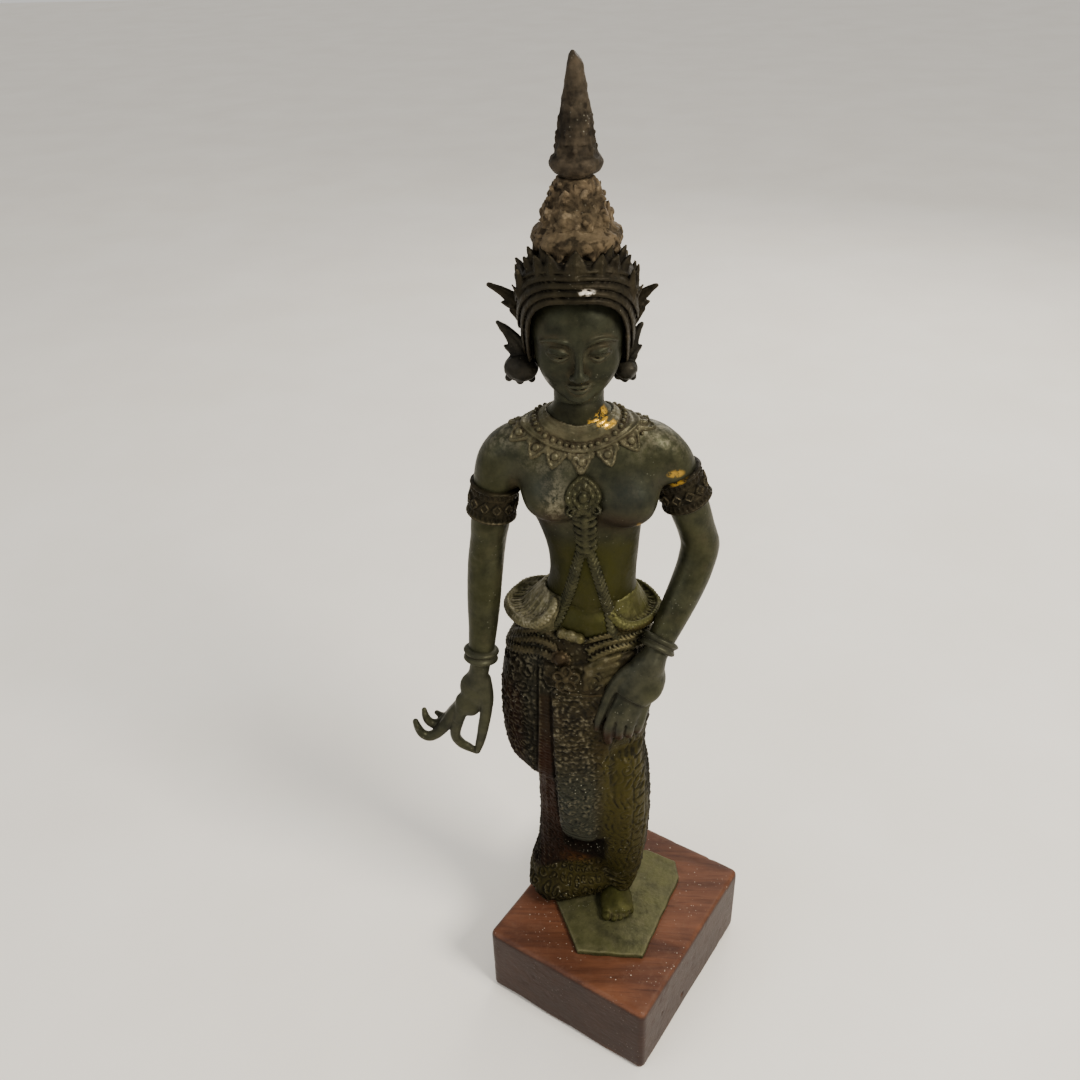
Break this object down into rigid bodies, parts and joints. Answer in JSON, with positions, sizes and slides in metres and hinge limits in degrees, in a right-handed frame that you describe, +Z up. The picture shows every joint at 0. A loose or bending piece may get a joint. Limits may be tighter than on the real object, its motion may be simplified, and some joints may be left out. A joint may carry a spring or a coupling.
{
  "type": "deity statue",
  "caption": "Standing cast deity figurine with tall tiered crown, collar, armlets and patterned long skirt, on a thin metal plate screwed to a rectangular hardwood block.",
  "frame": {"origin": "centre of the wooden block's underside", "axes": "+Z up to the crown's tip, figure faces -Y, +X is the figure's left"},
  "size_m": [0.1408, 0.1154, 0.4],
  "materials": {
    "wood": "dark red-brown stained and lacquered hardwood, edges rubbed and dusty",
    "bronze_plate": "grey-green patinated bronze, satin, pale scratched rim",
    "bronze_skin": "dark green-black patinated bronze, soft satin, dust in the recesses",
    "bronze_cloth": "dark brown-green patinated bronze, finely textured, worn high points",
    "bronze_ornament": "dark bronze relief with brown dust and traces of gold leaf",
    "bronze_crown": "brown-grey dusty matt bronze",
    "steel": "plain slotted screw, satin"
  },
  "bodies": {
    "root": {"wooden_base": "wood", "base_plate": "bronze_plate", "mounting_screw_front": "steel", "mounting_screw_rear": "steel", "lower_body": "bronze_cloth", "left_foot": "bronze_skin", "skirt_front_panel": "bronze_cloth", "belt": "bronze_ornament", "belt_rosette": "bronze_ornament", "hip_flap_right": "bronze_cloth", "hip_flap_left": "bronze_cloth", "torso": "bronze_skin", "body_chain_right": "bronze_ornament", "body_chain_left": "bronze_ornament", "chest_medallion": "bronze_ornament", "necklace": "bronze_ornament", "head": "bronze_skin", "diadem": "bronze_crown", "crown_dome": "bronze_crown", "crown_tier": "bronze_crown", "crown_spire": "bronze_crown", "crown_wing_right": "bronze_crown", "crown_wing_left": "bronze_crown", "ear_ornament_right": "bronze_ornament", "ear_ornament_left": "bronze_ornament", "right_forearm": "bronze_skin", "left_forearm": "bronze_skin", "right_armlet": "bronze_ornament", "left_armlet": "bronze_ornament", "right_hand": "bronze_skin", "right_bracelet": "bronze_ornament", "left_hand": "bronze_skin", "left_fingers": "bronze_skin", "left_bracelet": "bronze_ornament"}
  },
  "joints": []
}
